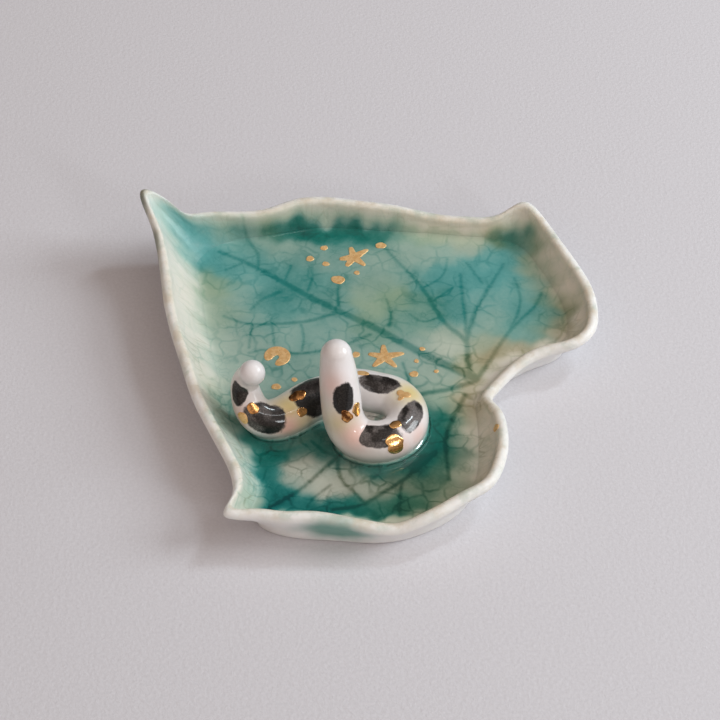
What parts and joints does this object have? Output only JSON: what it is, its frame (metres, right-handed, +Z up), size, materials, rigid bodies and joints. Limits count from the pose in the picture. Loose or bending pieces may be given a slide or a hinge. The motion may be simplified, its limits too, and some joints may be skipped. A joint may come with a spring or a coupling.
{
  "type": "ring dish",
  "caption": "Leaf-shaped porcelain ring dish with green glaze pooled on its floor, a coiled clay ring post, and gold lustre stars, dots and patches.",
  "frame": {"origin": "on the table, under the middle of the whole dish", "axes": "+Z up, square to the flat foot; +Y towards the back, where the long tip is at the left; +X towards the notch of the leaf's stalk"},
  "size_m": [0.1146, 0.1063, 0.0314],
  "materials": {
    "porcelain": "gloss",
    "pool_glaze": "gloss",
    "coil_porcelain": "gloss",
    "gold_lustre": "gloss"
  },
  "bodies": {
    "root": {"glaze_pool": "pool_glaze", "gold_dot_01": "gold_lustre", "gold_dot_02": "gold_lustre", "gold_dot_03": "gold_lustre", "gold_dot_04": "gold_lustre", "gold_dot_05": "gold_lustre", "gold_dot_06": "gold_lustre", "gold_dot_07": "gold_lustre", "gold_dot_08": "gold_lustre", "gold_dot_09": "gold_lustre", "gold_dot_10": "gold_lustre", "gold_dot_11": "gold_lustre", "gold_dot_12": "gold_lustre", "gold_dot_13": "gold_lustre", "gold_dot_14": "gold_lustre", "gold_moon": "gold_lustre", "gold_patch_01": "gold_lustre", "gold_patch_02": "gold_lustre", "gold_patch_03": "gold_lustre", "gold_patch_04": "gold_lustre", "gold_patch_05": "gold_lustre", "gold_patch_06": "gold_lustre", "gold_patch_07": "gold_lustre", "gold_patch_08": "gold_lustre", "gold_patch_09": "gold_lustre", "gold_patch_10": "gold_lustre", "gold_rim_dab": "gold_lustre", "gold_star_far": "gold_lustre", "gold_star_near": "gold_lustre", "leaf_dish": "porcelain", "ring_coil": "coil_porcelain"}
  },
  "joints": []
}
